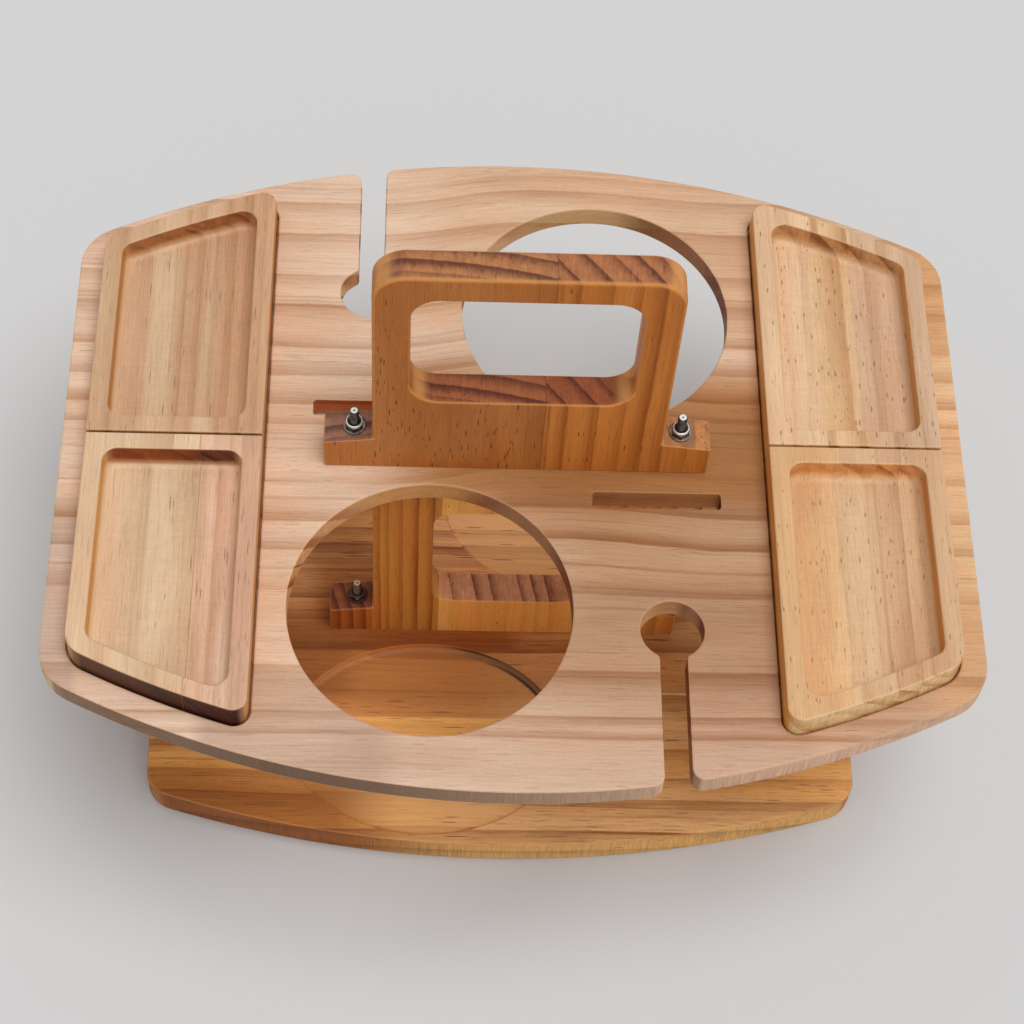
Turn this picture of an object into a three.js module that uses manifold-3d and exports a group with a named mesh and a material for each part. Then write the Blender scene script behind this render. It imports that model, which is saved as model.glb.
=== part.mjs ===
// Two-tier wooden picnic caddy: a bowed serving board carried over a smaller base board by a bolted frame,
// with a carrying handle, bottle holes, wine-glass keyholes, knife slots and four lift-out snack trays.
// Millimetres, +Z up, origin on the ground under the centre of the base board, front towards -Y.
import * as THREE from "three";
import { mergeVertices } from "three/addons/utils/BufferGeometryUtils.js";
import Module from "manifold-3d";

const wasm = await Module();
wasm.setup();

// Clearances and facets
const seatGap = 0.3; // between faces that rest on each other
const boltClearance = 0.3; // all round a bolt
const holeOvershoot = 1; // how far a drill runs past both faces
const trayClearance = 0.8; // all round a tray in its pocket
const trayGap = 0.8; // between the two trays that share a pocket
const facetError = 0.12; // furthest a facet strays from its arc
const shankSides = 20;
const edgeEase = 1; // rounding of the rims of both boards and of the trays

// Serving board
const boardWidth = 380;
const boardDepth = 312; // over the bowed edges
const boardThickness = 11;
const boardBowRadius = 400;
const boardCornerRadius = 21;

// Openings of the serving board: each is at the front and, half a turn away, at the back
const bottleHoleRadius = 58;
const bottleX = 35; // left of the centre line at the front
const bottleY = 74;
const glassHoleRadius = 13;
const glassX = 63; // right of the centre line at the front
const glassY = 82.7;
const stemSlotWidth = 11;
const stemNeckRadius = 2.75; // where the slot meets the glass hole
const stemMouthRadius = 5;
const knifeSlotLength = 54;
const knifeSlotWidth = 7.6;
const knifeSlotCorner = 1.5;
const knifeX = 58.7; // right of the centre line at the front
const knifeY = 21.6;

// Tray pockets, one along each side of the serving board
const pocketInnerX = 104.8;
const pocketRim = 10.5; // wood left between pocket and board edge
const pocketDepth = 5;
const pocketInnerRadius = 6.5;
const pocketOuterRadius = 13;

// Snack trays
const trayHeight = 16;
const trayRim = 8;
const trayRecessDepth = 10;
const trayRecessCorner = 6;
const trayFloorFillet = 2.5;

// Base board with a shallow oval rest under each bottle hole
const baseWidth = 320;
const baseDepth = 232; // over the bowed edges
const baseThickness = 15;
const baseBowRadius = 520;
const baseCornerRadius = 14;
const restHalfLength = 62.5;
const restHalfWidth = 48;
const restY = 63;
const restDepth = 3;

// Handle and support frame: upright panels with a bolted ear at each end of every foot
const stockThickness = 15;
const footLength = 160;
const legSpan = 120; // over the outer faces of the legs
const earLegHeight = 20; // ear height where it meets the leg
const earEndHeight = 17;
const handleHeight = 129.5;
const handleLegWidth = 15;
const handleSillHeight = 48;
const gripHeight = 14; // bar above the hand window
const gripCornerRadius = 14;
const handWindowCorner = 12;
const handleEdgeRound = 2.5;
const supportHeight = 130;
const supportLegWidth = 26.5;
const supportSillHeight = 28.5;
const supportLintelHeight = 26;
const supportWindowCorner = 10;
const supportEdgeRound = 1.5;

// Bolts, washers and nuts
const boltInset = 12.5; // from the end of an ear
const boltX = footLength / 2 - boltInset;
const boltRadius = 2;
const boltTipChamfer = 0.5;
const boltProud = 7.4; // thread left standing above the nut
const headFlats = 7;
const headHeight = 2.8;
const nutFlats = 7;
const nutHeight = 3.2;
const washerRadius = 4.5;
const washerThickness = 0.8;
const spotFaceMargin = 0.6; // flat left round a washer or bolt head
const counterboreDepth = 4;

// Heights of the stack, from the ground up
const supportZ = baseThickness + seatGap;
const boardZ = supportZ + supportHeight + seatGap;
const handleZ = boardZ + boardThickness + seatGap;
const trayZ = boardZ + boardThickness - pocketDepth + seatGap;

// Colours and finish
const boardPine = { color: 0xd9ae86, roughness: 0.6, metalness: 0 };
const basePine = { color: 0xb9783f, roughness: 0.6, metalness: 0 };
const trayPine = { color: 0xd8ab77, roughness: 0.62, metalness: 0 };
const framePine = { color: 0xa9692f, roughness: 0.55, metalness: 0 };
const zincSteel = { color: 0xb9b7b2, roughness: 0.3, metalness: 1 };

// Points along an arc, close enough together to keep to facetError
function arc(x, y, radius, from, to, clockwise = false) {
  const curve = new THREE.ArcCurve(x, y, radius, from, to, clockwise);
  const step = 2 * Math.acos(1 - facetError / radius);
  return curve.getPoints(Math.ceil(curve.getLength() / radius / step));
}

function roundedRectangle(left, right, bottom, top, radius) {
  return [
    ...arc(left + radius, bottom + radius, radius, Math.PI, 1.5 * Math.PI),
    ...arc(right - radius, bottom + radius, radius, 1.5 * Math.PI, 2 * Math.PI),
    ...arc(right - radius, top - radius, radius, 0, 0.5 * Math.PI),
    ...arc(left + radius, top - radius, radius, 0.5 * Math.PI, Math.PI),
  ];
}

// A bow is the pair of arcs at the front and back of a board; inset moves both inwards
const boardBow = { radius: boardBowRadius, depth: boardDepth };
const baseBow = { radius: baseBowRadius, depth: baseDepth };
const insetBow = (bow, inset) => ({ radius: bow.radius - inset, depth: bow.depth - 2 * inset });

// Points along the front arc of a bow between two upright sides, left to right, with both corners rounded
function bowedEdge(bow, left, leftRadius, right, rightRadius) {
  const centreY = bow.radius - bow.depth / 2;
  const corner = (x, radius) => {
    const y = centreY - Math.sqrt((bow.radius - radius) ** 2 - x ** 2);
    return { x, y, radius, angle: Math.atan2(y - centreY, x) };
  };
  const a = corner(left + leftRadius, leftRadius);
  const b = corner(right - rightRadius, rightRadius);
  return [
    ...arc(a.x, a.y, a.radius, Math.PI, a.angle),
    ...arc(0, centreY, bow.radius, a.angle, b.angle),
    ...arc(b.x, b.y, b.radius, b.angle, 0),
  ];
}

const mapped = (points, scaleX, scaleY) => points.map((p) => new THREE.Vector2(scaleX * p.x, scaleY * p.y));
const halfTurn = (points) => mapped(points, -1, -1);
const withHalfTurn = (points) => [...points, ...halfTurn(points)];
const withMirror = (points) => [...points, ...mapped(points, 1, -1).reverse()];

// A flat plate from an outline and its holes, standing on z = 0
function plate(points, height, holes = []) {
  const shape = new THREE.Shape(points);
  shape.holes = holes.map((hole) => new THREE.Path(hole));
  return new THREE.ExtrudeGeometry(shape, { depth: height, bevelEnabled: false });
}

// A plate whose rims are rounded over, standing on z = 0
function roundedPlate(points, height, round, holes = []) {
  const shape = new THREE.Shape(points);
  shape.holes = holes.map((hole) => new THREE.Path(hole));
  return new THREE.ExtrudeGeometry(shape, {
    depth: height - 2 * round,
    bevelThickness: round,
    bevelSize: round,
    bevelOffset: -round,
    bevelSegments: 2,
  }).translate(0, 0, round);
}

// An upright round bar from z = 0
function bar(radius, height) {
  return plate(arc(0, 0, radius, 0, 2 * Math.PI).slice(1), height);
}

function hexagon(flats) {
  const radius = flats / Math.sqrt(3);
  return new THREE.ArcCurve(0, 0, radius, 0, 2 * Math.PI).getPoints(6).slice(1);
}

function solid(geometry) {
  geometry.deleteAttribute("normal");
  geometry.deleteAttribute("uv");
  const merged = mergeVertices(geometry, 1e-4);
  const triVerts = new Uint32Array(merged.index.array);
  const vertProperties = merged.attributes.position.array;
  return new wasm.Manifold(new wasm.Mesh({ numProp: 3, vertProperties, triVerts }));
}

const cut = (body, ...tools) => tools.reduce((left, tool) => left.subtract(solid(tool)), body);

function partMesh(name, body, finish, z = 0) {
  const { vertProperties, triVerts } = body.getMesh();
  const geometry = new THREE.BufferGeometry();
  geometry.setAttribute("position", new THREE.BufferAttribute(vertProperties, 3));
  geometry.setIndex(new THREE.BufferAttribute(triVerts, 1));
  const mesh = new THREE.Mesh(geometry, new THREE.MeshStandardMaterial(finish));
  mesh.name = name;
  mesh.position.z = z;
  return mesh;
}

// Serving board: the bowed outline runs in and out of the keyholes, the pockets are sunk from above
const boltHole = (side, height) =>
  bar(boltRadius + boltClearance, height + 2 * holeOvershoot).translate(side * boltX, 0, -holeOvershoot);
const pocketBow = insetBow(boardBow, pocketRim);
const pocketOuterX = boardWidth / 2 - pocketRim;

function boardOutline() {
  const side = boardWidth / 2;
  const slotLeft = glassX - stemSlotWidth / 2;
  const slotRight = glassX + stemSlotWidth / 2;
  const neckX = stemSlotWidth / 2 + stemNeckRadius;
  const neckReach = glassHoleRadius + stemNeckRadius;
  const neck = Math.asin(neckX / neckReach);
  const neckY = -glassY - neckReach * Math.cos(neck);
  return withHalfTurn([
    ...bowedEdge(boardBow, -side, boardCornerRadius, slotLeft, stemMouthRadius),
    ...arc(glassX - neckX, neckY, stemNeckRadius, 0, Math.PI / 2 - neck),
    ...arc(glassX, -glassY, glassHoleRadius, -Math.PI / 2 - neck, -Math.PI / 2 + neck, true),
    ...arc(glassX + neckX, neckY, stemNeckRadius, Math.PI / 2 + neck, Math.PI),
    ...bowedEdge(boardBow, slotRight, stemMouthRadius, side, boardCornerRadius),
  ]);
}

function servingBoard() {
  const bottleHole = arc(-bottleX, -bottleY, bottleHoleRadius, 0, 2 * Math.PI).slice(1);
  const knifeSlot = roundedRectangle(
    knifeX - knifeSlotLength / 2,
    knifeX + knifeSlotLength / 2,
    -knifeY - knifeSlotWidth / 2,
    -knifeY + knifeSlotWidth / 2,
    knifeSlotCorner,
  );
  const holes = [bottleHole, halfTurn(bottleHole), knifeSlot, halfTurn(knifeSlot)];
  const pocket = withMirror(bowedEdge(pocketBow, pocketInnerX, pocketInnerRadius, pocketOuterX, pocketOuterRadius));
  const pocketCut = (side) =>
    plate(mapped(pocket, side, 1), boardThickness).translate(0, 0, boardThickness - pocketDepth);
  return cut(
    solid(roundedPlate(boardOutline(), boardThickness, edgeEase, holes)),
    pocketCut(-1),
    pocketCut(1),
    boltHole(-1, boardThickness),
    boltHole(1, boardThickness),
  );
}

// Snack tray: a quarter of the pocket pair, hollowed with a filleted floor; side and end pick the corner
function snackTray(side, end) {
  const bow = insetBow(pocketBow, trayClearance);
  const innerX = pocketInnerX + trayClearance;
  const outerX = pocketOuterX - trayClearance;
  const seamY = -trayGap / 2;
  const outline = [
    ...bowedEdge(bow, innerX, pocketInnerRadius - trayClearance, outerX, pocketOuterRadius - trayClearance),
    new THREE.Vector2(outerX, seamY),
    new THREE.Vector2(innerX, seamY),
  ];
  const left = innerX + trayRim;
  const right = outerX - trayRim;
  const cornerY = seamY - trayRim - trayRecessCorner;
  const recess = [
    ...bowedEdge(insetBow(bow, trayRim), left, trayRecessCorner, right, trayRecessCorner),
    ...arc(right - trayRecessCorner, cornerY, trayRecessCorner, 0, Math.PI / 2),
    ...arc(left + trayRecessCorner, cornerY, trayRecessCorner, Math.PI / 2, Math.PI),
  ];
  const hollow = roundedPlate(mapped(recess, side, -end), trayHeight + trayRecessDepth, trayFloorFillet);
  hollow.translate(0, 0, trayHeight - trayRecessDepth);
  const flare = new THREE.ExtrudeGeometry(new THREE.Shape(mapped(recess, side, -end)), {
    depth: edgeEase,
    bevelThickness: edgeEase,
    bevelSize: edgeEase,
    bevelSegments: 1,
  }).translate(0, 0, trayHeight);
  return cut(solid(roundedPlate(mapped(outline, side, -end), trayHeight, edgeEase)), hollow, flare);
}

// Base board: two oval bottle rests above, counterbores for the bolt heads below
function baseBoard() {
  const side = baseWidth / 2;
  const outline = withMirror(bowedEdge(baseBow, -side, baseCornerRadius, side, baseCornerRadius));
  const steps = arc(0, 0, restHalfLength, 0, 2 * Math.PI).length;
  const oval = new THREE.EllipseCurve(-bottleX, -restY, restHalfLength, restHalfWidth).getPoints(steps).slice(1);
  const restCut = (points) => plate(points, baseThickness).translate(0, 0, baseThickness - restDepth);
  const counterbore = (end) =>
    bar(washerRadius + spotFaceMargin, 2 * counterboreDepth).translate(end * boltX, 0, -counterboreDepth);
  return cut(
    solid(roundedPlate(outline, baseThickness, edgeEase)),
    restCut(oval),
    restCut(halfTurn(oval)),
    boltHole(-1, baseThickness),
    boltHole(1, baseThickness),
    counterbore(-1),
    counterbore(1),
  );
}

// Ears slope down from the leg; a bolt seat is spot-faced at the height of its low side
const spotFaceRadius = washerRadius + spotFaceMargin;
const earSlope = (earLegHeight - earEndHeight) / (footLength / 2 - legSpan / 2);
const earSeatHeight = earLegHeight - earSlope * (boltX + spotFaceRadius - legSpan / 2);
const spotFace = (end, z) => bar(spotFaceRadius, earLegHeight).translate(end * boltX, 0, z);

// The right-hand edge of one foot, from the ground up, standing a little low so that its sole can be cut flat
const footEdge = (sink) => [
  new THREE.Vector2(footLength / 2, -sink),
  new THREE.Vector2(footLength / 2, earEndHeight),
  new THREE.Vector2(legSpan / 2, earLegHeight),
];

// An upright panel from its outline in X and Z, with a window and rounded edges, cut flat at both heights given
function uprightPanel(outline, window, round, bottom, top) {
  const panel = roundedPlate(outline, stockThickness, round, [window]);
  panel.rotateX(Math.PI / 2).translate(0, stockThickness / 2, 0);
  const reach = footLength + stockThickness;
  const below = new THREE.BoxGeometry(reach, reach, reach).translate(0, 0, bottom - reach / 2);
  const above = new THREE.BoxGeometry(reach, reach, reach).translate(0, 0, top + reach / 2);
  return cut(solid(panel), below, above);
}

function carryingHandle() {
  const rightSide = [
    ...footEdge(handleEdgeRound),
    ...arc(legSpan / 2 - gripCornerRadius, handleHeight - gripCornerRadius, gripCornerRadius, 0, Math.PI / 2),
  ];
  const outline = [...rightSide, ...mapped(rightSide, -1, 1).reverse()];
  const opening = legSpan / 2 - handleLegWidth;
  const windowTop = handleHeight - gripHeight;
  const window = roundedRectangle(-opening, opening, handleSillHeight, windowTop, handWindowCorner);
  const panel = uprightPanel(outline, window, handleEdgeRound, 0, handleHeight);
  return cut(
    panel,
    spotFace(-1, earSeatHeight),
    spotFace(1, earSeatHeight),
    boltHole(-1, earLegHeight),
    boltHole(1, earLegHeight),
  );
}

function supportFrame() {
  const upward = footEdge(supportEdgeRound);
  const downward = upward.map((p) => new THREE.Vector2(p.x, supportHeight - p.y)).reverse();
  const rightSide = [...upward, ...downward];
  const outline = [...rightSide, ...mapped(rightSide, -1, 1).reverse()];
  const opening = legSpan / 2 - supportLegWidth;
  const windowTop = supportHeight - supportLintelHeight;
  const window = roundedRectangle(-opening, opening, supportSillHeight, windowTop, supportWindowCorner);
  const panel = uprightPanel(outline, window, supportEdgeRound, 0, supportHeight);
  const upperSeatZ = supportHeight - earSeatHeight - earLegHeight;
  return cut(
    panel,
    spotFace(-1, earSeatHeight),
    spotFace(1, earSeatHeight),
    spotFace(-1, upperSeatZ),
    spotFace(1, upperSeatZ),
    boltHole(-1, supportHeight),
    boltHole(1, supportHeight),
  );
}

// A bolt with its washer and nut; seatZ is where the washer rests and clamped is how far below it the head bears
function fastenerStack(name, end, seatZ, clamped) {
  const washerZ = seatGap;
  const nutZ = washerZ + washerThickness + seatGap;
  const tipZ = nutZ + nutHeight + boltProud;
  const headZ = -clamped - seatGap;
  const profile = [
    new THREE.Vector2(0, headZ - headHeight / 2),
    new THREE.Vector2(boltRadius, headZ - headHeight / 2),
    new THREE.Vector2(boltRadius, tipZ - boltTipChamfer),
    new THREE.Vector2(boltRadius - boltTipChamfer, tipZ),
    new THREE.Vector2(0, tipZ),
  ];
  const shank = solid(new THREE.LatheGeometry(profile, shankSides).rotateX(Math.PI / 2));
  const head = solid(plate(hexagon(headFlats), headHeight).translate(0, 0, headZ - headHeight));
  const bore = arc(0, 0, boltRadius + boltClearance, 0, 2 * Math.PI).slice(1);
  const washerRim = arc(0, 0, washerRadius, 0, 2 * Math.PI).slice(1);
  const stack = new THREE.Group();
  stack.position.set(end * boltX, 0, seatZ);
  stack.add(
    partMesh(`bolt_${name}`, shank.add(head), zincSteel),
    partMesh(`washer_${name}`, solid(plate(washerRim, washerThickness, [bore])), zincSteel, washerZ),
    partMesh(`nut_${name}`, solid(plate(hexagon(nutFlats), nutHeight, [bore])), zincSteel, nutZ),
  );
  return stack;
}

const caddy = new THREE.Group();
caddy.add(
  partMesh("base_board", baseBoard(), basePine),
  partMesh("support_frame", supportFrame(), framePine, supportZ),
  partMesh("top_board", servingBoard(), boardPine, boardZ),
  partMesh("handle", carryingHandle(), framePine, handleZ),
);
const ends = [
  { word: "left", sign: -1 },
  { word: "right", sign: 1 },
];
for (const { word, sign } of ends) {
  caddy.add(
    partMesh(`tray_front_${word}`, snackTray(sign, -1), trayPine, trayZ),
    partMesh(`tray_back_${word}`, snackTray(sign, 1), trayPine, trayZ),
  );
  const handleSeatZ = handleZ + earSeatHeight;
  const upperEarZ = supportZ + supportHeight - earSeatHeight;
  caddy.add(fastenerStack(`handle_${word}`, sign, handleSeatZ, handleSeatZ - upperEarZ));
  const baseSeatZ = supportZ + earSeatHeight;
  caddy.add(fastenerStack(`base_${word}`, sign, baseSeatZ, baseSeatZ - counterboreDepth));
}

export default caddy;
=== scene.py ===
import math
import random
import bmesh
import bpy
from mathutils import Matrix, Vector


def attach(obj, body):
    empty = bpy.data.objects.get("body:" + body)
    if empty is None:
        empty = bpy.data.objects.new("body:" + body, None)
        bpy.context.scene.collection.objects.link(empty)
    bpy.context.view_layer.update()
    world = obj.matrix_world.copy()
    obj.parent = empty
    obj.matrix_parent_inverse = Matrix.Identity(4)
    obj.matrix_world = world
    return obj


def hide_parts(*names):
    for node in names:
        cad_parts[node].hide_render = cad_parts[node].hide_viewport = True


# Two-tier pine picnic caddy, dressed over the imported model
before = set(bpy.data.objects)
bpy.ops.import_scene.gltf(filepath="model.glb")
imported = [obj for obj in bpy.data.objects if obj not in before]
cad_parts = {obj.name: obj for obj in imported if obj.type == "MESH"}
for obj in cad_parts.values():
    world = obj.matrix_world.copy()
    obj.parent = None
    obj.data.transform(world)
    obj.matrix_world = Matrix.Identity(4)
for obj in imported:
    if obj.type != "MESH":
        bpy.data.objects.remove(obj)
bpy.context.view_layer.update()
mm = 0.001
near = 0.05  # millimetres: a point closer than this lies on the face
overshoot = 2  # millimetres that a cutter runs past the wood
print("frame loaded:", len(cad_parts), "nodes")


# Outlines, in millimetres

def arcPoints(x, y, radius, start, end, sagitta=0.012):
    step = 2 * math.acos(1 - sagitta / radius)
    count = max(2, math.ceil(math.radians(abs(end - start)) / step))
    angles = [math.radians(start + (end - start) * i / count) for i in range(count + 1)]
    return [(x + radius * math.cos(a), y + radius * math.sin(a)) for a in angles]


def roundedBox(left, right, bottom, top, radius):
    return (arcPoints(left + radius, bottom + radius, radius, 180, 270)
            + arcPoints(right - radius, bottom + radius, radius, 270, 360)
            + arcPoints(right - radius, top - radius, radius, 0, 90)
            + arcPoints(left + radius, top - radius, radius, 90, 180))


# front arc of a bowed board between two upright sides, left to right, both corners rounded
def bowedEdge(bow, depth, left, leftRadius, right, rightRadius):
    centre = bow - depth / 2

    def corner(x, radius):
        y = centre - math.sqrt((bow - radius) ** 2 - x * x)
        return x, y, math.degrees(math.atan2(y - centre, x)) % 360
    ax, ay, aAngle = corner(left + leftRadius, leftRadius)
    bx, by, bAngle = corner(right - rightRadius, rightRadius)
    return (arcPoints(ax, ay, leftRadius, 180, aAngle)
            + arcPoints(0, centre, bow, aAngle, bAngle)[1:]
            + arcPoints(bx, by, rightRadius, bAngle, 360)[1:])


def turned(points):
    return [(-x, -y) for x, y in points]


def mirrored(points, scaleX, scaleY):
    flipped = [(x * scaleX, y * scaleY) for x, y in points]
    return flipped if scaleX * scaleY > 0 else flipped[::-1]


# Bench tools

def setMode(mode):
    bpy.ops.object.mode_set(mode=mode)


def deselectAll():
    if bpy.context.object and bpy.context.object.mode != "OBJECT":
        setMode("OBJECT")
    bpy.ops.object.select_all(action="DESELECT")


def pick(piece):
    deselectAll()
    piece.select_set(True)
    bpy.context.view_layer.objects.active = piece


def scrap(piece):
    bpy.data.objects.remove(piece, do_unlink=True)


def putIn(piece):
    bpy.context.scene.collection.objects.link(piece)


# the selected faces are pulled out, by metres
def pullOut(x, y, z):
    bpy.ops.mesh.extrude_region_move(TRANSFORM_OT_translate={"value": (x, y, z)})


# a circle is laid on the outline point by point, then pulled up to a plate
def tracePlate(name, outline, low, high, upright=False):
    deselectAll()
    bpy.ops.mesh.primitive_circle_add(vertices=len(outline), radius=0.1, fill_type="NGON")
    piece = bpy.context.object
    piece.name = piece.data.name = name
    for vertex, (a, b) in zip(piece.data.vertices, outline):
        vertex.co = Vector((a, low, b) if upright else (a, b, low)) * mm
    rise = (high - low) * mm
    setMode("EDIT")
    bpy.ops.mesh.select_all(action="SELECT")
    pullOut(0, rise if upright else 0, 0 if upright else rise)
    bpy.ops.mesh.select_all(action="SELECT")
    bpy.ops.mesh.normals_make_consistent(inside=False)
    setMode("OBJECT")
    return piece


def addRod(name, radius, x, y, low, high, sides):
    deselectAll()
    bpy.ops.mesh.primitive_cylinder_add(vertices=sides, radius=radius * mm, depth=(high - low) * mm,
                                        location=(x * mm, y * mm, (low + high) / 2 * mm))
    rod = bpy.context.object
    rod.name = name
    bpy.ops.object.transform_apply(location=True, rotation=True, scale=True)
    return rod


def modify(piece, kind, **settings):
    pick(piece)
    modifier = piece.modifiers.new(kind, kind)
    for setting, value in settings.items():
        setattr(modifier, setting, value)
    bpy.ops.object.modifier_apply(modifier=kind)


def combine(piece, tool, operation="DIFFERENCE"):
    modify(piece, "BOOLEAN", operation=operation, solver="EXACT", object=tool)
    scrap(tool)


def drill(piece, radius, x, y, low, high, sides):
    combine(piece, addRod("drill", radius, x, y, low, high, sides))


# each sharp edge is rounded over by the width that the maker gives for its middle, in millimetres
def easeEdges(piece, segments, widthAt, sharper=40):
    mesh = bmesh.new()
    mesh.from_mesh(piece.data)
    bmesh.ops.remove_doubles(mesh, verts=mesh.verts, dist=1e-6)
    weight = mesh.edges.layers.float.new("bevel_weight_edge")
    widest = 3.0
    for edge in mesh.edges:
        middle = (edge.verts[0].co + edge.verts[1].co) / 2 / mm
        if len(edge.link_faces) == 2 and edge.calc_face_angle() > math.radians(sharper):
            edge[weight] = widthAt(middle) / widest
    mesh.to_mesh(piece.data)
    mesh.free()
    modify(piece, "BEVEL", limit_method="WEIGHT", width=widest * mm, segments=segments,
           use_clamp_overlap=False)
    spent = piece.data.attributes.get("bevel_weight_edge")
    if spent:
        piece.data.attributes.remove(spent)


# a copy has its own mesh, moved or mirrored in the mesh itself
def copyPiece(piece, name, matrix):
    twin = piece.copy()
    twin.data = piece.data.copy()
    twin.name = twin.data.name = name
    putIn(twin)
    twin.data.transform(matrix)
    if matrix.determinant() < 0:
        twin.data.flip_normals()
    return twin


def finishPiece(piece, body, node, material):
    pick(piece)
    bpy.ops.object.shade_smooth_by_angle(angle=math.radians(32))
    modify(piece, "WEIGHTED_NORMAL", keep_sharp=True)
    finishes = material if isinstance(material, list) else [material]
    indices = [min(face.material_index, len(finishes) - 1) for face in piece.data.polygons]
    piece.data.materials.clear()
    for finish in finishes:
        piece.data.materials.append(finish)
    piece.data.polygons.foreach_set("material_index", indices)
    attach(piece, body)
    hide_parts(node)


# Shader bench: each helper adds its nodes to the tree it is fed from and gives back the socket

def paint(hexCode):
    parts = [int(hexCode[i:i + 2], 16) / 255 for i in (1, 3, 5)]
    return tuple(p / 12.92 if p <= 0.04045 else ((p + 0.055) / 1.055) ** 2.4 for p in parts) + (1,)


def newMaterial(name):
    material = bpy.data.materials.new(name)
    material.use_nodes = True
    return material, material.node_tree, material.node_tree.nodes["Principled BSDF"]


# a socket takes another socket, a number or a colour code
def plug(value, socket):
    if isinstance(value, bpy.types.NodeSocket):
        socket.id_data.links.new(value, socket)
    else:
        socket.default_value = paint(value) if isinstance(value, str) else value


# the values go into the sockets of these names
def feed(node, values):
    for name, value in values.items():
        plug(value, node.inputs[name])


# the values go into the first sockets in order
def fill(node, *values):
    for value, socket in zip(values, node.inputs):
        plug(value, socket)
    return node.outputs[0]


# a new node in the tree that the values come from
def nodeFor(kind, *values):
    source = next(value for value in values if isinstance(value, bpy.types.NodeSocket))
    return source.id_data.nodes.new(kind)


def calc(operation, *values, clamp=False):
    node = nodeFor("ShaderNodeMath", *values)
    node.operation = operation
    node.use_clamp = clamp
    return fill(node, *values)


def total(first, *others):
    for value in others:
        first = calc("ADD", first, value)
    return first


def times(first, *others):
    for value in others:
        first = calc("MULTIPLY", first, value)
    return first


def minus(a, b):
    return calc("SUBTRACT", a, b)


def timesPlus(a, b, c):
    return calc("MULTIPLY_ADD", a, b, c)


def absolute(value):
    return calc("ABSOLUTE", value)


def span(value, low, high, toLow=0.0, toHigh=1.0, smooth=True):
    node = nodeFor("ShaderNodeMapRange", value)
    node.interpolation_type = "SMOOTHSTEP" if smooth else "LINEAR"
    return fill(node, value, low, high, toLow, toHigh)


def tone(value, low, high, toLow, toHigh):
    return span(value, low, high, toLow, toHigh, smooth=False)


def blend(factor, a, b):
    return timesPlus(factor, b, times(minus(1.0, factor), a))


def vector(x, y, z):
    return fill(nodeFor("ShaderNodeCombineXYZ", x, y, z), x, y, z)


def noise(where, scale=1.0, detail=2.0, roughness=0.5):
    node = nodeFor("ShaderNodeTexNoise", where)
    feed(node, {"Vector": where, "Scale": scale, "Detail": detail, "Roughness": roughness})
    return node.outputs[0]


def mixColour(factor, a, b, mode="MIX"):
    node = nodeFor("ShaderNodeMix", factor, a, b)
    node.data_type = "RGBA"
    node.blend_type = mode
    feed(node, {0: factor, 6: a, 7: b})  # the node's sockets for colours
    return node.outputs[2]


def darken(colour, shade):
    return mixColour(1.0, colour, vector(shade, shade, shade), "MULTIPLY")


# growth rings as ramps: each ring is (edge, fade, depth), dark at its edge and paling over the fade
def ringShade(where, rings, soft, perRamp=6):
    rings = sorted(rings, key=lambda ring: ring[0] + min(ring[1], 0))
    ramps = []
    for first in range(0, len(rings), perRamp):
        stops = []
        for edge, fade, depth in rings[first:first + perRamp]:
            lip = soft if fade > 0 else -soft
            profile = [(edge - lip, 0), (edge, depth), (edge + fade * 0.35, depth * 0.62),
                       (edge + fade * 0.7, depth * 0.25), (edge + fade, 0)]
            stops += profile if fade > 0 else profile[::-1]
        low, high = stops[0][0] - 1, stops[-1][0] + 1
        node = nodeFor("ShaderNodeValToRGB", where)
        plug(tone(where, low, high, 0, 1), node.inputs[0])
        elements = node.color_ramp.elements
        elements.remove(elements[1])
        elements[0].position, elements[0].color = 0, (0, 0, 0, 1)
        reached = 0
        for place, value in stops:
            reached = max(reached, (place - low) / (high - low))
            stop = elements.new(min(reached, 1))
            stop.color = (value, value, value, 1)
        ramps.append(node.outputs[0])
    return total(*ramps)


def randomRings(seed, low, high, spacing, depth, side=1):
    draw = random.Random(seed)
    rings, place = [], low
    while place < high:
        gap = spacing * draw.uniform(0.6, 1.4)
        edge = place + gap - 0.4 if side < 0 else place
        rings.append((edge, side * (gap - 0.8) * draw.uniform(0.6, 1), depth * draw.uniform(0.45, 1.1)))
        place += gap
    return rings


# one inside a window given by four places, sloping to nothing outside
def window(value, places):
    a, b, c, d = places
    return times(span(value, a, b), span(value, d, c))


# windows that are open on one side, or cut off sharply at both
far = 300  # millimetres, past every piece


def upTo(full, gone):
    return -far, 1 - far, full, gone


def onFrom(start, full):
    return start, full, far, far + 1


def between(low, high):
    return low, low + 1, high - 1, high


# Pine: rings along each stave, fibres, resin dashes, darker end grain and warm rims

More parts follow.
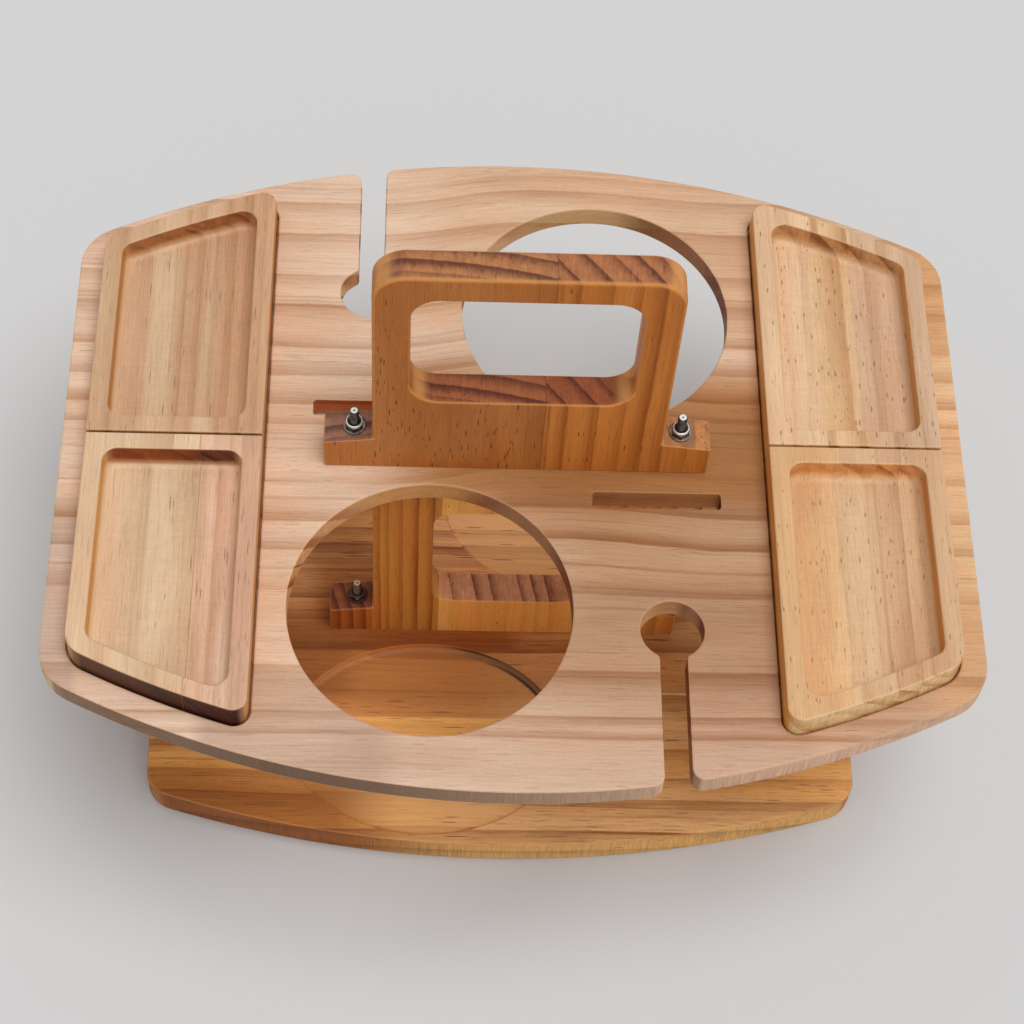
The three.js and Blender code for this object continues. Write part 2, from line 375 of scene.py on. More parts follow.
# each noise of the grain: waves per millimetre (along, across, deep), seed step, detail, roughness
grain = {
    "tremor": ((1 / 14, 1 / 6, 1 / 6), 3.1, 2, 0.5), "fibre": ((0.035, 1.6, 1.6), 1, 4, 0.62),
    "lines": ((0.006, 0.55, 0.2), 2.7, 2, 0.55), "streak": ((0.02, 0.62, 0.5), 8.3, 3, 0.6),
    "cloud": ((0.012, 0.05, 0.05), 5.9, 2, 0.5), "vigour": ((0.012, 0.04, 0.04), 19.7, 2, 0.5),
    "blush": ((0.008, 0.035, 0.035), 13.1, 2, 0.5), "mottle": ((0.5, 1.3, 1.3), 3.9, 3, 0.7),
    "hair": ((0.09, 2.4, 2.4), 17.3, 2, 0.5), "pore": ((0.4, 2.4, 2.4), 1, 3, 0.65),
    "saw": ((0.1, 2.3, 0.14), 4.3, 3, 0.6), "blot": ((0.3, 0.22, 0.22), 15.1, 3, 0.6),
    "burn": ((0.7, 0.7, 0.12), 12.9, 3, 0.6), "hatch": ((1.5, 0.05, 0.07), 6.1, 3, 0.6),
    "chatter": ((0.75, 0.11, 0.1), 9.7, 3, 0.6),
}
withRings = ("fibre", "lines", "streak", "blush", "hair")  # these bend with the growth rings


def pine(name, look):
    material, tree, shader = newMaterial(name)
    place = tree.nodes.new("ShaderNodeTexCoord")
    split = tree.nodes.new("ShaderNodeSeparateXYZ")
    plug(place.outputs["Object"], split.inputs[0])
    axes = [times(output, 1 / mm) for output in split.outputs]
    normals = tree.nodes.new("ShaderNodeSeparateXYZ")
    plug(place.outputs["Normal"], normals.inputs[0])
    alongAxis, acrossAxis, deepAxis = ["xyz".index(letter) for letter in look["axes"]]
    along, across = axes[alongAxis], axes[acrossAxis]
    deep = minus(axes[deepAxis], look["face"])
    towardsRight, towardsFace = normals.outputs[0], normals.outputs[deepAxis]
    seed = look["seed"]

    def spread(scales, step, follows=False):
        alongScale, acrossScale, deepScale = scales
        wide = times(across, acrossScale)
        if follows:
            wide = timesPlus(wander, acrossScale, wide)
        return vector(times(along, alongScale), wide, timesPlus(deep, deepScale, seed * step))

    def grainNoise(kind):
        scales, step, detail, roughness = grain[kind]
        return noise(spread(scales, step, kind in withRings), 1, detail, roughness)

    def centred(value, size):
        return times(minus(value, 0.5), size)

    def patch(alongPlaces, acrossPlaces):
        return times(window(along, alongPlaces), window(across, acrossPlaces))

    def withPatches(value, patches):
        for *places, extra in look.get(patches, []):
            value = timesPlus(patch(*places), extra, value)
        return value

    # slow wander of the grain, in millimetres
    wanderLong, wanderWide, wanderSize = look["wander"]
    slow = noise(spread((1 / wanderLong, 1 / wanderWide, 1 / wanderWide), 7.3), 1, 1)
    wander = total(centred(slow, wanderSize * 2), centred(grainNoise("tremor"), 0.9))
    for start, end, nearLow, nearHigh, lift in look.get("lifts", []):
        rise = times(span(along, start, end), span(across, nearLow, nearHigh))
        wander = minus(wander, times(rise, lift))

    # each stave has its own rings, tint and glue line
    shade = flatShade = tint = glue = low = None
    for stave in look["staves"]:
        leanAcross, leanDeep = stave["lean"]
        spot = total(times(across, leanAcross), times(deep, leanDeep), wander)
        if "bow" in stave:
            middle, amount = stave["bow"]
            away = minus(across, middle)
            spot = total(spot, times(away, away, amount))
        ownShade = ringShade(spot, stave["rings"], look.get("lip", 0.3))
        ownFlat = times(ownShade, stave.get("flat", 1.0))
        if shade is None:
            shade, flatShade, tint = ownShade, ownFlat, stave["tint"]
        else:
            edge = timesPlus(wander, stave.get("edgeWander", 0.0), across)
            blur = stave.get("blur", 0.12)
            here = span(edge, low - blur, low + blur)
            shade = blend(here, shade, ownShade)
            flatShade = blend(here, flatShade, ownFlat)
            tint = mixColour(here, tint, stave["tint"])
            if "glue" in stave:
                offset = absolute(minus(edge, low))
                line = span(offset, 0.05, 0.35, stave["glue"], 0)
                glue = line if glue is None else calc("MAXIMUM", glue, line)
        low = stave["upTo"]

    # fibres, and thin latewood lines that follow the rings
    fibre, streak = grainNoise("fibre"), grainNoise("streak")
    lines = span(grainNoise("lines"), 0.56, 0.74)

    # short dark resin dashes, one to a cell, crowded in places
    fleckLong, fleckWide, fleckShare = look["flecks"]
    cell = tree.nodes.new("ShaderNodeTexVoronoi")
    cellLong, cellWide = 1 / (fleckLong * 2.2), 1 / (fleckWide * 2.6)
    feed(cell, {"Scale": 1, "Vector": spread((cellLong, cellWide, cellWide), 11.7)})
    chance = tree.nodes.new("ShaderNodeSeparateColor")
    plug(cell.outputs["Color"], chance.inputs[0])
    cloudScales, cloudStep = grain["cloud"][:2]
    crowd = span(noise(spread(cloudScales, cloudStep), 2.3, 1), 0.35, 0.7, 0.35, 1.6)
    fleckShare = withPatches(fleckShare, "fleckPatches")
    kept = calc("LESS_THAN", chance.outputs[0], times(crowd, fleckShare))
    reach = timesPlus(chance.outputs[1], 0.2, 0.16)
    fleck = times(span(cell.outputs["Distance"], reach, times(reach, 0.55)), kept)

    # rings come and go along the board
    vigour = times(tone(grainNoise("vigour"), 0.32, 0.68, 0.72, 1.2), look.get("ringShare", 1.0))
    flatShade = times(flatShade, withPatches(vigour, "ringPatches"))

    # end grain where the surface cuts the fibres
    end = span(absolute(normals.outputs[alongAxis]), *look["endFrom"])
    marks = total(times(lines, look["lines"]), centred(streak, look["streaks"]))
    depth = calc("ADD", blend(end, flatShade, shade), marks, clamp=True)
    endDepth = span(timesPlus(shade, look.get("endGain", 1.0), marks), 0.0, 0.95)
    if "endCalm" in look:
        calmFrom, calmShare = look["endCalm"]
        endDepth = times(endDepth, span(absolute(along), calmFrom - 20, calmFrom, 1, calmShare))
    pale = mixColour(span(grainNoise("blush"), 0.4, 0.62), look["pale"], look["blush"])
    wood = mixColour(depth, pale, look["dark"])
    wood = mixColour(1.0, wood, tint, "MULTIPLY")
    fibreTone = tone(fibre, 0.3, 0.72, 1 - look["fibre"], 1 + look["fibre"] * 0.6)
    cloudTone = tone(grainNoise("cloud"), 0.3, 0.7, 0.94, 1.06)
    mottleTone = tone(grainNoise("mottle"), 0.3, 0.7, 0.94, 1.05)
    wood = darken(wood, times(fibreTone, cloudTone, mottleTone))
    wood = darken(wood, span(grainNoise("hair"), 0.58, 0.7, 1, 1 - look["hair"]))
    pore, saw = grainNoise("pore"), grainNoise("saw")
    endWood = mixColour(endDepth, look["endPale"], look["endDark"])
    endTone = times(tone(pore, 0.3, 0.7, 0.78, 1.12), tone(saw, 0.35, 0.75, 0.9, 1.22),
                    tone(grainNoise("blot"), 0.3, 0.7, 0.82, 1.14))
    wood = mixColour(end, wood, darken(endWood, endTone))

    # cut walls show deeper colour than the sanded faces
    upright = span(absolute(towardsFace), 0.7, 0.25)
    if "walls" in look:
        cut = times(upright, minus(1.0, end))
        wood = mixColour(cut, wood, look["walls"], "MULTIPLY")

    # sunk bottle rests: a paler floor, a painted highlight along the cove, and a painted shadow crescent on
    # the right of the rim and on the walls that face left, on the back half
    if "rests" in look:
        rests = look["rests"]
        halfLong, halfWide = rests["half"]
        bottom = -rests["depth"]
        sunk = span(deep, bottom + 0.3, bottom, 0, rests["floorShare"])
        raised = span(deep, bottom + 0.03, bottom + 0.25)
        crest = span(deep, *rests["crest"])
        facingLeft = span(towardsRight, -0.02, -0.3)
        fromAbove = span(deep, bottom - 1, bottom - 0.2)
        for centreX, centreY in rests["centres"]:
            offX = minus(along, centreX)
            ovalX = calc("DIVIDE", offX, halfLong)
            ovalY = calc("DIVIDE", minus(across, centreY), halfWide)
            fromCentre = calc("SQRT", timesPlus(ovalX, ovalX, times(ovalY, ovalY)))
            inside = times(span(fromCentre, 1.006, 1.0), fromAbove)
            wood = mixColour(times(inside, sunk), wood, rests["floor"])
            litCove = times(inside, crest, span(ovalY, -0.4, 0.1, 0.12, 0.75))
            wood = mixColour(litCove, wood, rests["cove"])
            ring = times(window(fromCentre, (0.935, 0.965, 0.999, 1.004)), span(offX, 5, 45))
            shadowedRim = calc("MAXIMUM", ring, times(inside, raised, facingLeft))
            shadowedRim = times(shadowedRim, fromAbove, span(ovalY, -0.15, 0.25))
            wood = mixColour(shadowedRim, wood, rests["burn"])

    # painted shade: the walls that face left are darkened, out to a set distance from the middle
    if "leftWallShade" in look:
        leftShadeColour, leftShadeShare, leftShadeWithin = look["leftWallShade"]
        facing = times(span(towardsRight, -0.1, -0.55), upright)
        inside = calc("LESS_THAN", absolute(axes[0]), leftShadeWithin)
        leftShadedWood = darken(leftShadeColour, tone(grainNoise("burn"), 0.35, 0.72, 0.75, 1.9))
        wood = mixColour(times(facing, inside, leftShadeShare), wood, leftShadedWood)

    # sawn bowed edges with fine upright hatching; their colour turns from dark on the left to light on the
    # right as painted shade and light
    if "sawnHatchAndShade" in look:
        sawnHatchAndShade = look["sawnHatchAndShade"]
        wide = total(absolute(across), sawnHatchAndShade["centre"])
        fromCentre = calc("SQRT", timesPlus(wide, wide, times(along, along)))
        outer = span(fromCentre, sawnHatchAndShade["bow"] - 1.3, sawnHatchAndShade["bow"] - 0.5)
        sawnShadedWood = mixColour(span(along, *sawnHatchAndShade["turn"]), sawnHatchAndShade["left"], sawnHatchAndShade["right"])
        hatchTone = times(tone(grainNoise("hatch"), 0.3, 0.7, 0.7, 1.2), span(depth, 0, 1, 1, 0.62))
        wood = mixColour(times(outer, upright, sawnHatchAndShade["share"]), wood, darken(sawnShadedWood, hatchTone))

    # local washes over faces, ends or walls, some of them painted shade, and stains on the end grain
    surfaces = {"faces": timesPlus(upright, -0.6, 1.0), "ends": end, "walls": upright}
    for *places, colour, surface in look.get("washes", []):
        wood = mixColour(times(patch(*places), surfaces[surface]), wood, colour, "MULTIPLY")
    for *places, colour, stainShare in look.get("stains", []):
        stained = darken(colour, times(endTone, span(shade, 0, 1, 1.08, 0.4)))
        wood = mixColour(times(patch(*places), end, stainShare), wood, stained)

    # faint cutter marks on a hollowed floor
    if "chatter" in look:
        floorFace = times(span(deep, 0.4, 0.1), span(towardsFace, 0.8, 0.97))
        swing = times(centred(grainNoise("chatter"), look["chatter"]), floorFace)
        wood = darken(wood, total(swing, 1.0))
    spots = times(fleck, look["fleckDepth"])
    if glue is not None:
        spots = calc("MAXIMUM", spots, glue)
    wood = mixColour(spots, wood, look["fleck"])

    # sanded rims are a little warmer, and lighter as a painted highlight along the rounded edges
    sizes = [absolute(normal) for normal in normals.outputs]
    flat = calc("MAXIMUM", calc("MAXIMUM", sizes[0], sizes[1]), sizes[2])
    wood = mixColour(span(flat, 0.97, 0.8, 0, look["rim"]), wood, look["rimToneAndHighlight"])

    sheen = tone(fibre, 0.3, 0.7, look["rough"] - 0.05, look["rough"] + 0.07)
    bump = tree.nodes.new("ShaderNodeBump")
    grooves = minus(times(fibre, 0.5), fleck)
    grooves = total(grooves, times(total(pore, saw), end))
    if "chatter" in look:
        grooves = timesPlus(swing, 4.0, grooves)
    feed(bump, {"Strength": 0.35, "Distance": 0.25 * mm, "Height": grooves})
    feed(shader, {"Base Color": wood, "Roughness": timesPlus(end, 0.12, sheen),
                  "Specular IOR Level": 0.32, "Normal": bump.outputs[0]})
    return material


# Serving board

servingBoard = {
    "width": 380, "depth": 312, "bow": 400, "corner": 21, "low": 145.6, "high": 156.6,
    "bottle": (-35, -74, 58), "glass": (63, -82.7, 13), "slotWidth": 11, "neck": 2.75, "mouth": 5,
    "knife": (58.7, -21.6, 54, 7.6, 1.5), "ease": 1.0, "slotEase": 0.4,
    "pocketInner": 104.8, "pocketRim": 10.5, "pocketDepth": 5, "pocketRadii": (6.5, 13),
    "boltX": 67.5, "boltHole": 2.3,
}


def boardOutline(s):
    side = s["width"] / 2
    x, y, radius = s["glass"]
    half = s["slotWidth"] / 2
    neckX, reach = half + s["neck"], radius + s["neck"]
    neck = math.degrees(math.asin(neckX / reach))
    neckY = y - reach * math.cos(math.radians(neck))
    front = (bowedEdge(s["bow"], s["depth"], -side, s["corner"], x - half, s["mouth"])
             + arcPoints(x - neckX, neckY, s["neck"], 0, 90 - neck)
             + arcPoints(x, y, radius, 270 - neck, -90 + neck)[1:]
             + arcPoints(x + neckX, neckY, s["neck"], 90 + neck, 180)[1:]
             + bowedEdge(s["bow"], s["depth"], x + half, s["mouth"], side, s["corner"]))
    return front + turned(front)


def pocketOutline(s, inset=0):
    rim = s["pocketRim"] + inset
    inner, outer = s["pocketInner"] + inset, s["width"] / 2 - rim
    radii = [r - inset for r in s["pocketRadii"]]
    return bowedEdge(s["bow"] - rim, s["depth"] - 2 * rim, inner, radii[0], outer, radii[1])


def makeServingBoard(s):
    board = tracePlate("servingBoard", boardOutline(s), s["low"], s["high"])
    bottom, top = s["low"] - overshoot, s["high"] + overshoot
    for turn in (1, -1):
        x, y, radius = s["bottle"]
        drill(board, radius, turn * x, turn * y, bottom, top, 180)
        x, y, length, width, corner = s["knife"]
        slot = roundedBox(x - length / 2, x + length / 2, y - width / 2, y + width / 2, corner)
        slot = slot if turn > 0 else turned(slot)
        combine(board, tracePlate("knifeCutter", slot, bottom, top))
        half = pocketOutline(s)
        pocket = mirrored(half + mirrored(half, 1, -1), turn, 1)
        combine(board, tracePlate("pocketCutter", pocket, s["high"] - s["pocketDepth"], top))
        drill(board, s["boltHole"], turn * s["boltX"], 0, bottom, top, 32)
    clear = s["boltHole"] + 1
    knifeX, knifeY, knifeLength, knifeWidth, _ = s["knife"]

    def widthAt(p):
        onRim = min(abs(p.z - s["low"]), abs(p.z - s["high"])) < near
        if not onRim or math.hypot(abs(p.x) - s["boltX"], p.y) < clear:
            return 0
        besideX = abs(abs(p.x) - knifeX) < knifeLength / 2 + near
        besideY = abs(abs(p.y) + knifeY) < knifeWidth / 2 + near
        return s["slotEase"] if besideX and besideY and p.x * p.y < 0 else s["ease"]
    easeEdges(board, 4, widthAt)
    return board


# Snack trays

snackTray = {
    "clearance": 0.8, "gap": 0.8, "low": 151.9, "high": 167.9, "rim": 8, "recess": 10, "recessCorner": 6,
    "floorFillet": 4.0, "ease": 0.9,
}


# the front right tray; the others are mirrored copies
def makeTray(name, s, b):
    half = pocketOutline(b, s["clearance"])
    seam = -s["gap"] / 2
    inner, outer = half[0][0], half[-1][0]
    outline = half + [(outer, seam), (inner, seam)]
    tray = tracePlate(name, outline, s["low"], s["high"])
    rim = s["rim"]
    inset = b["pocketRim"] + s["clearance"] + rim
    left, right, corner = inner + rim, outer - rim, s["recessCorner"]
    cornerY = seam - rim - corner
    recess = (bowedEdge(b["bow"] - inset, b["depth"] - 2 * inset, left, corner, right, corner)
              + arcPoints(right - corner, cornerY, corner, 0, 90)
              + arcPoints(left + corner, cornerY, corner, 90, 180))
    floor = s["high"] - s["recess"]
    cutter = tracePlate("recessCutter", recess, floor, s["high"] + overshoot)
    easeEdges(cutter, 8, lambda p: s["floorFillet"] if abs(p.z - floor) < near else 0)
    combine(tray, cutter)

    def widthAt(p):
        atRim = p.z > s["high"] - near or p.z < s["low"] + near
        return s["ease"] if atRim or abs(abs(p.y) - abs(seam)) < near else 0
    easeEdges(tray, 4, widthAt)
    return tray


# Base board

baseBoard = {
    "width": 320, "depth": 232, "thick": 15, "bow": 520, "corner": 14, "ease": 1.2, "restEase": 0.35,
    "rest": (-35, -63, 62.5, 48), "restDepth": 3, "restCove": 2.6,
    "boltX": 67.5, "boltHole": 2.3, "counterbore": (5.1, 4),
}


def makeBase(s):
    side = s["width"] / 2
    front = bowedEdge(s["bow"], s["depth"], -side, s["corner"], side, s["corner"])
    base = tracePlate("baseBoard", front + mirrored(front, 1, -1), 0, s["thick"])
    x, y, halfLength, halfWidth = s["rest"]
    circle = arcPoints(0, 0, halfLength, 0, 360)[1:]
    for turn in (1, -1):
        oval = [(turn * x + px, turn * y + py * halfWidth / halfLength) for px, py in circle]
        restFloor = s["thick"] - s["restDepth"]
        cutter = tracePlate("restCutter", oval, restFloor, restFloor + 2 * s["restDepth"])
        easeEdges(cutter, 6, lambda p: s["restCove"] if abs(p.z - restFloor) < near else 0)
        combine(base, cutter)
        boltX = turn * s["boltX"]
        drill(base, s["boltHole"], boltX, 0, -overshoot, s["thick"] + overshoot, 32)
        radius, depth = s["counterbore"]
        drill(base, radius, boltX, 0, -overshoot, depth, 48)
    clear = s["counterbore"][0] + 1

    # one on the rim of the nearer rest, less inside it
    def fromRest(p):
        return min(math.hypot((p.x - t * x) / halfLength, (p.y - t * y) / halfWidth) for t in (1, -1))

    def widthAt(p):
        onRim = min(abs(p.z), abs(p.z - s["thick"])) < near
        if not onRim or math.hypot(abs(p.x) - s["boltX"], p.y) < clear:
            return 0
        return s["restEase"] if fromRest(p) < 1.01 else s["ease"]
    easeEdges(base, 4, widthAt)
    return base


# Handle and support frame

uprights = {
    "stock": 15, "foot": 160, "legSpan": 120, "earAtLeg": 20, "earAtEnd": 17, "earRound": 0.6,
    "boltX": 67.5, "boltHole": 2.3, "seat": 5.1, "seatCut": 8,
    "handleLow": 156.9, "handleHeight": 129.5, "handleLeg": 15, "handleSill": 48, "handleRound": 2.2,
    "grip": 14, "gripCorner": 14, "handCorner": 12, "windowRound": 1.3,
    "supportLow": 15.3, "supportHeight": 130, "supportLeg": 26.5, "supportSill": 28.5, "supportRound": 0.9,
    "lintel": 26, "supportCorner": 10,
}


def earSeat(s):
    slope = (s["earAtLeg"] - s["earAtEnd"]) / (s["foot"] / 2 - s["legSpan"] / 2)
    return s["earAtLeg"] - slope * (s["boltX"] + s["seat"] - s["legSpan"] / 2)


def uprightPanel(name, rightSide, opening, s, low, seats, widthAt):
    outline = [(x, low + z) for x, z in rightSide + mirrored(rightSide, -1, 1)]
    face = s["stock"] / 2
    panel = tracePlate(name, outline, -face, face, upright=True)
    hole = [(x, low + z) for x, z in opening]
    combine(panel, tracePlate("windowCutter", hole, -s["stock"], s["stock"], upright=True))

    def eased(p):
        return widthAt(abs(p.x), p.z - low) if abs(abs(p.y) - face) < near else s["earRound"]
    easeEdges(panel, 5, eased)
    drillLength = 200
    for x in (-s["boltX"], s["boltX"]):
        drill(panel, s["boltHole"], x, 0, low - overshoot, low + drillLength, 32)
        for bottom, top in seats:
            drill(panel, s["seat"], x, 0, low + bottom, low + top, 48)
    return panel


def makeHandle(s):
    half, height, corner = s["legSpan"] / 2, s["handleHeight"], s["gripCorner"]
    rightSide = ([(s["foot"] / 2, 0), (s["foot"] / 2, s["earAtEnd"]), (half, s["earAtLeg"])]
                 + arcPoints(half - corner, height - corner, corner, 0, 90))
    opening = half - s["handleLeg"]
    handWindow = roundedBox(-opening, opening, s["handleSill"], height - s["grip"], s["handCorner"])
    seat = earSeat(s)
    seats = [(seat, seat + s["seatCut"])]

    def widthAt(x, z):
        if z < near:
            return 0
        if x < opening + near and z < height - s["grip"] + near:
            return s["windowRound"]
        outside = x > half - near or z > height - corner
        return s["handleRound"] if outside and z > s["earAtLeg"] + near else s["earRound"]
    return uprightPanel("carryHandle", rightSide, handWindow, s, s["handleLow"], seats, widthAt)


def makeSupport(s):
    half, height = s["legSpan"] / 2, s["supportHeight"]
    upward = [(s["foot"] / 2, 0), (s["foot"] / 2, s["earAtEnd"]), (half, s["earAtLeg"])]
    rightSide = upward + [(x, height - z) for x, z in upward[::-1]]
    opening = half - s["supportLeg"]
    gap = roundedBox(-opening, opening, s["supportSill"], height - s["lintel"], s["supportCorner"])
    seat = earSeat(s)
    seats = [(seat, seat + s["seatCut"]), (height - seat - s["seatCut"], height - seat)]

    def widthAt(x, z):
        return 0 if z < near or z > height - near else s["supportRound"]
    return uprightPanel("supportFrame", rightSide, gap, s, s["supportLow"], seats, widthAt)


# Bolts, washers and lock nuts

fasteners = {
    "x": 67.5, "radius": 2.0, "pitch": 0.7, "threadDepth": 0.36, "tipChamfer": 0.5,
    "dimple": 0.42, "dimpleDepth": 0.25, "headFlats": 7, "headHeight": 2.8, "headChamfer": 0.6,
    "rooted": 0.6, "plainShank": 8, "bore": 2.3, "gap": 0.3,
    "washerRadius": 4.5, "washer": 0.8, "washerEase": 0.16, "washerDrill": (-1, 3),
    "nutFlats": 7, "nut": 3.2, "nutHexagon": 0.62, "nutChamfer": 0.55,
    "collar": 3.45, "collarEase": 0.4, "lap": 0.3, "insert": 2.6, "sunk": 0.45,
    "proud": 7.4, "baseHead": 3.7,
}


def hexBlock(name, flats, x, y, low, high, chamfer):
    corner = flats / math.sqrt(3)
    block = addRod(name, corner, x, y, low, high, 6)
    cone = addRod("coneCutter", corner, x, y, low, high, 48)
    easeEdges(cone, 3, lambda p: chamfer)
    combine(block, cone, "INTERSECT")
    return block


def makeBolt(name, s, x, headTop, tip):
    head = hexBlock("boltHead", s["headFlats"], x, 0, headTop - s["headHeight"], headTop, s["headChamfer"])
    sides, perTurn = 24, 6
    start = headTop - s["rooted"]
    length = tip - s["tipChamfer"] - start
    count = round(length / s["pitch"] * perTurn)
    rise = length / count
    rod = addRod(name, s["radius"], x, 0, start, start + rise, sides)
    setMode("EDIT")
    bpy.ops.mesh.select_mode(type="FACE")
    bpy.ops.mesh.select_all(action="DESELECT")
    setMode("OBJECT")
    for face in rod.data.polygons:
        face.select = face.normal.z > 0.9
    setMode("EDIT")
    for step in range(count - 1):
        pullOut(0, 0, rise * mm)
    narrow = (s["radius"] - s["tipChamfer"]) / s["radius"]
    pullOut(0, 0, s["tipChamfer"] * mm)
    centre = (x * mm, 0, tip * mm)
    bpy.ops.transform.resize(value=(narrow, narrow, 1), center_override=centre)
    bpy.ops.mesh.inset(thickness=(s["radius"] - s["tipChamfer"] - s["dimple"]) * mm)
    pullOut(0, 0, -s["dimpleDepth"] * mm)
    bpy.ops.transform.resize(value=(0.5, 0.5, 1), center_override=centre)
    setMode("OBJECT")
    smoothTo = headTop + s["plainShank"]
    for vertex in rod.data.vertices:
        z = vertex.co.z / mm
        if smoothTo < z < tip - s["tipChamfer"] * 0.5:
            dx, dy = vertex.co.x - x * mm, vertex.co.y
            turn = (z / s["pitch"] - math.atan2(dy, dx) / (2 * math.pi)) % 1
            valley = abs(turn - 0.5) * 2
            scale = 1 - s["threadDepth"] * (1 - valley) / s["radius"]
            vertex.co.x, vertex.co.y = x * mm + dx * scale, dy * scale
    combine(rod, head, "UNION")
    for face in rod.data.polygons:
        height = face.center.z / mm
        face.material_index = 0 if height > tip - near or height < headTop + near else 1
    return rod


def makeWasher(name, s, x, low):
    washer = addRod(name, s["washerRadius"], x, 0, low, low + s["washer"], 64)
    under, over = s["washerDrill"]
    drill(washer, s["bore"], x, 0, low + under, low + over, 40)
    easeEdges(washer, 2, lambda p: s["washerEase"] if math.hypot(p.x - x, p.y) > s["bore"] + 0.5 else 0)
    return washer


# hexagon below, rolled collar above with a dark nylon ring sunk in it
def makeNut(name, s, x, low):
    body = s["nut"] * s["nutHexagon"]
    top = low + s["nut"]
    nut = hexBlock(name, s["nutFlats"], x, 0, low, low + body, s["nutChamfer"])
    collar = addRod("collar", s["collar"], x, 0, low + body - s["lap"], top, 48)
    easeEdges(collar, 4, lambda p: s["collarEase"] if p.z > top - near else 0)
    combine(nut, collar, "UNION")
    drill(nut, s["insert"], x, 0, top - s["sunk"], top + overshoot, 48)
    drill(nut, s["bore"], x, 0, low - overshoot, top + overshoot, 40)
    for face in nut.data.polygons:
        spot = face.center / mm
        fromAxis = math.hypot(spot.x - x, spot.y)
        if fromAxis < s["insert"] - 0.02 and spot.z > low + body - s["lap"]:
            face.material_index = 2
        else:
            face.material_index = 0 if spot.z > low + body + 0.2 else 1
    return nut


# Finishes

def zincPlate(name, bright, dull, roughLow, roughHigh, metal):
    material, tree, shader = newMaterial(name)
    place = tree.nodes.new("ShaderNodeTexCoord").outputs["Object"]
    stain = span(noise(place, 900, 3, 0.6), 0.35, 0.7)
    scuff = span(noise(place, 2600, 2), 0.3, 0.7, roughLow, roughHigh)
    feed(shader, {"Base Color": mixColour(stain, bright, dull), "Roughness": scuff, "Metallic": metal})
    return material


def darkNylon(name):
    material, tree, shader = newMaterial(name)
    worn = noise(tree.nodes.new("ShaderNodeTexCoord").outputs["Object"], 1500, 3)
    feed(shader, {"Base Color": mixColour(worn, "#1c1512", "#3a2c24"), "Roughness": 0.45})
    return material


boardPine = pine("boardPine", {
    "axes": "xyz", "face": 156.6, "seed": 1.0, "wander": (150, 60, 2.2),
    "lifts": [(-60, 5, -75, -30, 9.0), (20, 95, -75, -30, -5.0)],
    "staves": [{"upTo": 200, "lean": (1, 0.8), "tint": "#ffffff", "rings": [
        (141, -4, 0.4), (132.5, -10, 0.7), (114.5, -12, 0.75), (91, -9, 0.6), (79, -1.2, 0.5),
        (76.8, -1, 0.5), (74.8, -8, 0.7), (52.4, 7, 0.6), (38, 8, 0.85), (23.7, 9, 0.85), (13.5, 5, 0.65),
        (8.5, 1, 0.5), (1, 0.8, 0.4), (-16, 7, 0.4), (-35, 9, 0.85), (-48.6, 7, 0.75), (-57.6, 1, 0.5),
        (-67.5, 7, 0.4), (-102, -10, 0.6), (-122.4, -5, 0.6), (-132, 4, 0.6)]}],
    "lip": 0.7, "endGain": 2.6, "endCalm": (160, 0.5), "ringShare": 0.78,
    "ringPatches": [((-20, 50, 110, 160), upTo(-40, -25), 0.55)],
    "washes": [
        # painted shade: the right of the middle is darker and more orange, in place of the sheen that
        # lights the left
        ((-60, 40, 158, 176), (-160, -75, 5, 45), "#d8cab4", "faces"),
        (onFrom(158, 176), between(-200, 201), "#fff1d4", "faces"),
        ((-110, -106, 96, 100), (-127, -126, -2, 0), "#f3cfb3", "walls"),
        (between(-88, -28), between(14, 31), "#f7c0a9", "walls"),
        (upTo(-178, -172), (-125, -115, -40, -20), "#e5e6eb", "faces"),
        ((-130, -120, -60, -40), upTo(-112, -100), "#e2dad7", "faces"),
        ((60, 72, 110, 125), upTo(-80, -60), "#f9f2ee", "faces"),
        (onFrom(-70, -20), onFrom(45, 75), "#f4ece0", "faces"),
        # painted shade and orange bounce around the foot of the handle
        ((-75, -25, 110, 140), (-40, -14, 30, 60), "#d4b488", "faces"),
        ((-114, -110, -90, -60), (-140, -110, 110, 140), "#fdf7f0", "faces"),
        (onFrom(-85, -30), upTo(-80, -50), "#eee9e6", "faces")],
    "pale": "#e9c9af", "blush": "#e4bda0", "dark": "#ae7646", "walls": "#ffffda",
    "endPale": "#f2d0a2", "endDark": "#b06830", "fleck": "#8a5b3c", "fleckDepth": 0.4,
    "flecks": (6, 0.32, 0.06), "lines": 0.26, "streaks": 0.4, "fibre": 0.14, "hair": 0.2,
    "endFrom": (0.45, 0.85), "rim": 0.3, "rimToneAndHighlight": "#e2b083", "rough": 0.5,
    # the sawn edge colour runs from painted shade on the left to painted light on the right
    "sawnHatchAndShade": {"left": "#673b26", "right": "#f3c4a6", "turn": (-75, 130), "share": 0.85,
             "bow": 400, "centre": 244},
    # painted shade on the walls that face left
    "leftWallShade": ("#6e3c22", 0.9, 100),
})
